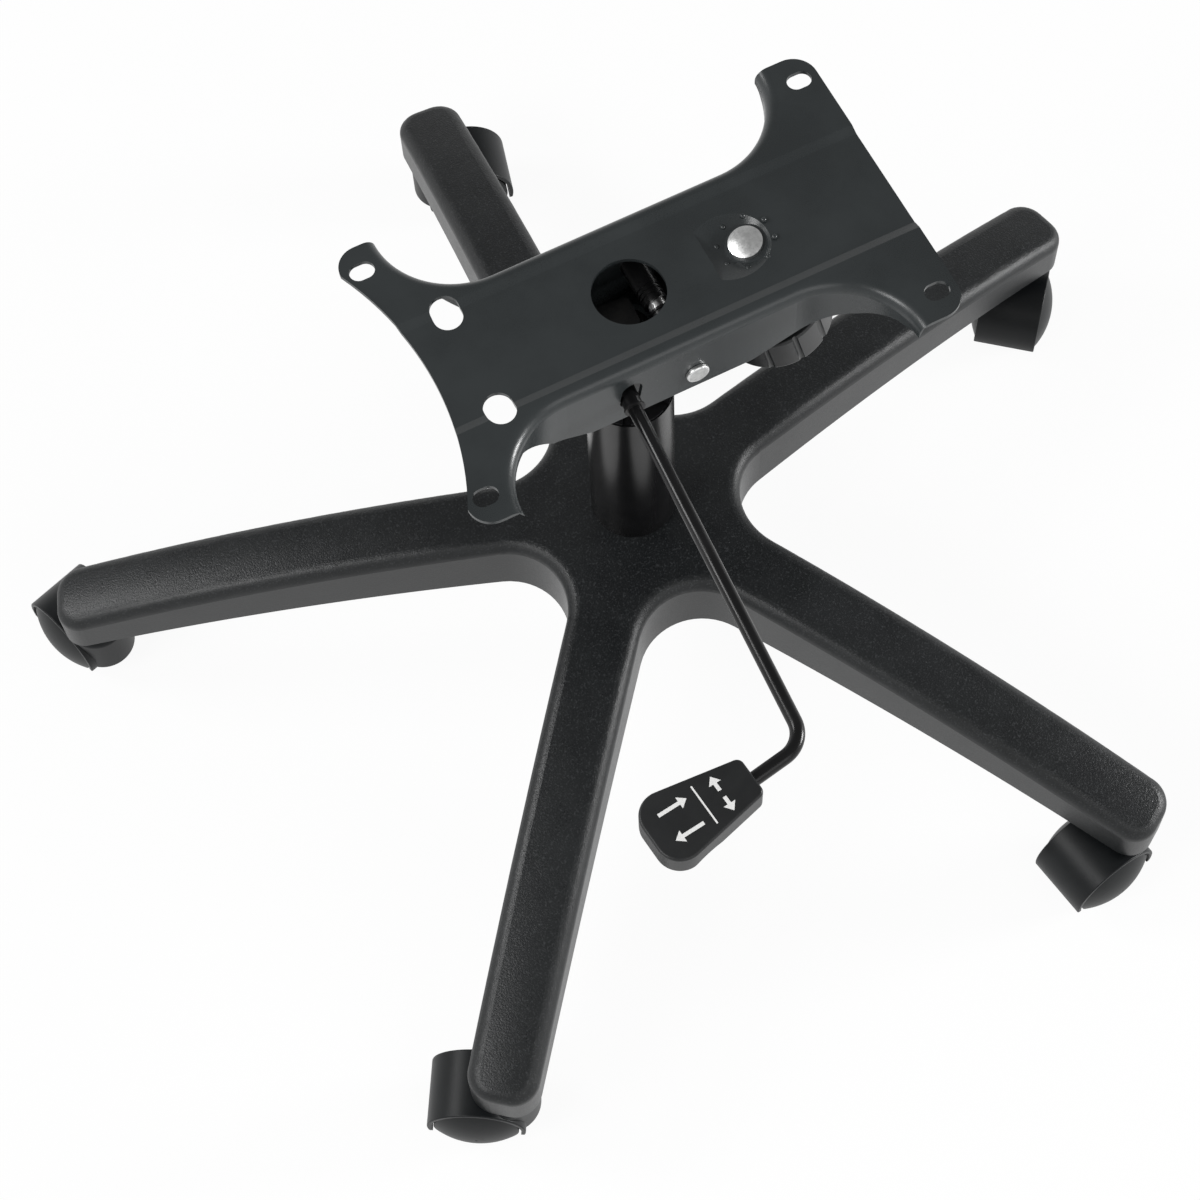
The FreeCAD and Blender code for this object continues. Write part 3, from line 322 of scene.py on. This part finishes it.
def makeMoulded(name, p, m=moulding):
    f = Finish(name)
    flow = f.noise(m["flow"], 4.0, 0.6, f.stretched(1.0, 1.0, 2.2))
    grain = f.noise(p["grain"], 2.0, 0.55)
    rub = f.noise(m["rub"], 5.0, 0.7)
    colour = f.blend(f.band(flow, *m["flowBand"]), p["dark"], p["light"])
    rough = p["rough"] + (flow - 0.5) * m["flowRough"] + f.band(rub, *m["rubBand"]) * m["rubRough"]
    bump = f.bump(grain * 0.7 + rub * 0.3, m["grainHeight"], m["grainStrength"])
    return f.done(Base_Color=colour, Roughness=rough, Normal=bump, Specular_IOR_Level=p["gloss"])


stopRubber = {
    "dark": (0.008, 0.008, 0.008, 1), "light": (0.017, 0.0165, 0.016, 1), "rough": 0.72,
    "bloom": 90.0, "bloomBand": (0.4, 0.75), "bloomRough": 0.2,
    "grain": 1200.0, "grainHeight": 0.1 * mm, "grainStrength": 0.6,
}


def makeRubber(p=stopRubber):
    f = Finish("stop_rubber")
    bloom = f.noise(p["bloom"], 5.0, 0.65)
    grain = f.noise(p["grain"])
    colour = f.blend(f.band(bloom, *p["bloomBand"]), p["dark"], p["light"])
    rough = p["rough"] + (bloom - 0.5) * p["bloomRough"]
    bump = f.bump(grain, p["grainHeight"], p["grainStrength"])
    return f.done(Base_Color=colour, Roughness=rough, Normal=bump)


ink = {
    "bright": (0.78, 0.78, 0.77, 1), "thin": (0.62, 0.62, 0.61, 1), "rough": 0.55,
    "speck": 1600.0, "speckBand": (0.45, 0.75), "speckRough": 0.2,
    "speckHeight": 0.03 * mm, "speckStrength": 0.5,
}


def makeInk(p=ink):
    f = Finish("print_ink")
    speck = f.noise(p["speck"], 3.0, 0.6)
    colour = f.blend(f.band(speck, *p["speckBand"]), p["bright"], p["thin"])
    rough = p["rough"] + (speck - 0.5) * p["speckRough"]
    bump = f.bump(speck, p["speckHeight"], p["speckStrength"])
    return f.done(Base_Color=colour, Roughness=rough, Normal=bump)


finishes = {
    "base_nylon": makeStarNylon(),
    "plate_coat": makePlateCoat(),
    "gloss_black": makeEnamel(),
    "zinc": makeZinc(),
    "steel": makeGroundSteel(),
    "spring_steel": makeOxide(),
    "caster_nylon": makeMoulded("caster_nylon", casterNylon),
    "wheel_nylon": makeMoulded("wheel_nylon", wheelNylon),
    "guide_plastic": makeMoulded("acetal", acetal),
    "knob_plastic": makeMoulded("knob_plastic", knobPlastic),
    "paddle_plastic": makeMoulded("paddle_plastic", paddlePlastic),
    "bumper_rubber": makeRubber(),
}
inkFinish = makeInk()

for name, node in nodes.items():
    node.data.materials.clear()
    node.data.materials.append(finishes[slotOf[name]])
print("finishes set on", len(nodes), "nodes")


def addPiece(name, bm, finish):
    bmesh.ops.recalc_face_normals(bm, faces=bm.faces)
    mesh = bpy.data.meshes.new(name)
    bm.to_mesh(mesh)
    bm.free()
    mesh.materials.append(finish)
    piece = bpy.data.objects.new(name, mesh)
    bpy.context.scene.collection.objects.link(piece)
    return piece


# the tension spring in two lengths, upper and lower, cut across its travel axis
tensionCoil = {
    "node": "tension_spring", "travel": "tension_travel", "upperShare": 0.62, "merge": 0.002 * mm,
    "upper": ("mechanism", "seat"), "lower": ("seat", "tension_carrier"),
}


def coilLength(p, mesh, name, cut, away):
    bm = bmesh.new()
    bm.from_mesh(mesh)
    bmesh.ops.remove_doubles(bm, verts=bm.verts, dist=p["merge"])
    everything = bm.verts[:] + bm.edges[:] + bm.faces[:]
    bmesh.ops.bisect_plane(bm, geom=everything, plane_co=cut, plane_no=away, clear_outer=True)
    bmesh.ops.holes_fill(bm, edges=[edge for edge in bm.edges if edge.is_boundary])
    slot = slotOf[p["node"]]
    piece = addPiece("tension_coil_" + name, bm, finishes[slot])
    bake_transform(piece)
    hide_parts(p["node"])


def makeTensionCoil(p=tensionCoil):
    joints = frame["record"]["behaviour"]["joints"]
    axis = Vector(next(row["axis"] for row in joints if row["name"] == p["travel"])).normalized()
    mesh = nodes[p["node"]].data
    heights = [axis.dot(v.co) for v in mesh.vertices]
    top, foot = max(heights), min(heights)
    middle = top - (top - foot) * p["upperShare"]
    coilLength(p, mesh, "upper", axis * middle, -axis)
    coilLength(p, mesh, "lower", axis * middle, axis)


makeTensionCoil()
print("tension spring set between its seats")


# plain arrows printed on the lever's paddle: two for lift, two for in and out
paddleMarks = {
    "neck": (-63.91 * mm, -261.69 * mm), "way": (-0.9932, -0.1160),      # the rod's entry and its direction
    "top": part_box("lever_paddle")[1][2], "thick": 0.14 * mm, "sunk": 0.04 * mm,
    "head": 4.3 * mm, "headHalf": 3.4 * mm, "shaftHalf": 1.0 * mm, "barHalf": 0.45 * mm,
    "lift": {"at": 42 * mm, "side": 7.6 * mm, "length": 16.5 * mm},
    "slide": {"at": 18 * mm, "side": 1.9 * mm, "length": 8.6 * mm},
    "bar": {"at": 28.5 * mm, "half": 11.5 * mm},
}


def markOutline(bm, p, corners):
    along = Vector((p["way"][0], p["way"][1], 0)).normalized()
    across = Vector((-along.y, along.x, 0))
    neck = Vector((p["neck"][0], p["neck"][1], p["top"] - p["sunk"]))
    face = bm.faces.new([bm.verts.new(neck + along * u + across * v) for u, v in corners])
    risen = bmesh.ops.extrude_face_region(bm, geom=[face])["geom"]
    lift = [v for v in risen if isinstance(v, bmesh.types.BMVert)]
    bmesh.ops.translate(bm, vec=(0, 0, p["thick"]), verts=lift)


def arrowCorners(p, length):
    neck = length - p["head"]
    s, h = p["shaftHalf"], p["headHalf"]
    return [(0, -s), (neck, -s), (neck, -h), (length, 0), (neck, h), (neck, s), (0, s)]


def makePaddleMarks(p=paddleMarks):
    bm = bmesh.new()
    lift, slide, bar = p["lift"], p["slide"], p["bar"]
    arrow = arrowCorners(p, lift["length"])
    half = lift["length"] / 2
    markOutline(bm, p, [(lift["at"] - half + u, lift["side"] + v) for u, v in arrow])
    markOutline(bm, p, [(lift["at"] + half - u, -lift["side"] - v) for u, v in arrow])
    arrow = arrowCorners(p, slide["length"])
    markOutline(bm, p, [(slide["at"] - v, slide["side"] + u) for u, v in arrow])
    markOutline(bm, p, [(slide["at"] + v, -slide["side"] - u) for u, v in arrow])
    ends = [(-1, -1), (1, -1), (1, 1), (-1, 1)]
    markOutline(bm, p, [(bar["at"] + u * p["barHalf"], v * bar["half"]) for u, v in ends])
    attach(addPiece("paddle_marks", bm, inkFinish), "lever")


makePaddleMarks()
print("paddle marks printed")


# camera at the photo's viewing angle
view = {
    "place": (-0.3248, -0.6935, 1.6200),
    "right": (0.8931, -0.4490, -0.0279), "up": (0.41648, 0.8018, 0.42856),
    "lens": 83.41, "sensor": 36.0, "farthest": 100.0,
}


def makeCamera(p=view):
    data = bpy.data.cameras.new("photo_camera")
    data.lens = p["lens"]
    data.sensor_width = p["sensor"]
    data.clip_end = p["farthest"]
    right = Vector(p["right"]).normalized()
    up = Vector(p["up"])
    up = (up - right * up.dot(right)).normalized()
    back = right.cross(up)
    turn = Matrix((right, up, back)).transposed().to_4x4()
    camera = bpy.data.objects.new("photo_camera", data)
    camera.matrix_world = Matrix.Translation(Vector(p["place"])) @ turn
    bpy.context.scene.collection.objects.link(camera)
    bpy.context.scene.camera = camera


makeCamera()


# soft studio light
lamps = {
    "top": {"place": (-1.9, -0.4, 1.9), "aim": (0.0, 0.0, 0.2), "size": (1.0, 0.8), "power": 28.0},
    "key": {"place": (-1.9, 1.3, 1.9), "aim": (0.0, 0.0, 0.2), "size": (0.9, 0.8), "power": 28.0},
    "side": {"place": (2.4, -0.9, 0.7), "aim": (0.0, 0.0, 0.15), "size": (0.8, 0.6), "power": 60.0},
    "front": {"place": (0.2, -2.0, 1.6), "aim": (0.0, 0.0, 0.25), "size": (1.8, 1.2), "power": 12.0},
}


def makeLamp(name, p):
    data = bpy.data.lights.new(name, "AREA")
    data.shape = "RECTANGLE"
    data.size, data.size_y = p["size"]
    data.energy = p["power"]
    lamp = bpy.data.objects.new(name, data)
    place = Vector(p["place"])
    turn = (Vector(p["aim"]) - place).to_track_quat("-Z", "Y")
    lamp.matrix_world = Matrix.Translation(place) @ turn.to_matrix().to_4x4()
    bpy.context.scene.collection.objects.link(lamp)


for lampName, lampSpec in lamps.items():
    makeLamp(lampName, lampSpec)


stage = {
    "world": 0.3, "skyLow": -0.1, "skyHigh": 0.55,
    "floor": 0.86, "floorCloud": 0.02, "cloudScale": 3.0, "floorSize": 30.0, "floorGlow": 0.93,
}


def makeWorld(p=stage):
    bpy.context.scene.world = bpy.data.worlds.new("studio")
    f = Finish("studio", bpy.context.scene.world)
    rise = f.part("Z", f.node("TexCoord", out="Generated"))
    low = 1 - f.band(rise, p["skyLow"], p["skyHigh"])      # white round the horizon, dim overhead
    camera, glossy, through = f.rays()
    share = f.node("Math", {"operation": "ADD", "use_clamp": True}, {0: camera + through, 1: glossy * low})
    dim = f.node("Background", None, {"Color": grey(1.0), "Strength": p["world"]})
    white = f.node("Background", None, {"Color": grey(1.0), "Strength": 1.0})
    f.close(f.node("MixShader", None, {0: share, 1: dim, 2: white}), "World")


makeWorld()


def makeFloor(p=stage):
    f = Finish("studio_floor")
    cloud = f.noise(p["cloudScale"])
    paint = f.blend(cloud, grey(p["floor"]), grey(p["floor"] + p["floorCloud"]))
    surface = f.node("BsdfDiffuse", None, {"Color": paint})
    glow = f.node("Emission", None, {"Color": grey(1.0), "Strength": 1.0})
    camera, glossy, through = f.rays()
    share = (camera + glossy + through) * p["floorGlow"]      # what is left of the paint keeps the shadow
    f.close(f.node("MixShader", None, {0: share, 1: surface, 2: glow}))
    bm = bmesh.new()
    bmesh.ops.create_grid(bm, x_segments=1, y_segments=1, size=p["floorSize"])
    mesh = bpy.data.meshes.new("studio_floor")
    bm.to_mesh(mesh)
    bm.free()
    mesh.materials.append(f.material)
    floor = bpy.data.objects.new("studio_floor", mesh)
    bpy.context.scene.collection.objects.link(floor)


makeFloor()
bpy.context.scene.view_settings.view_transform = "Standard"
print("camera, lamps and floor set")
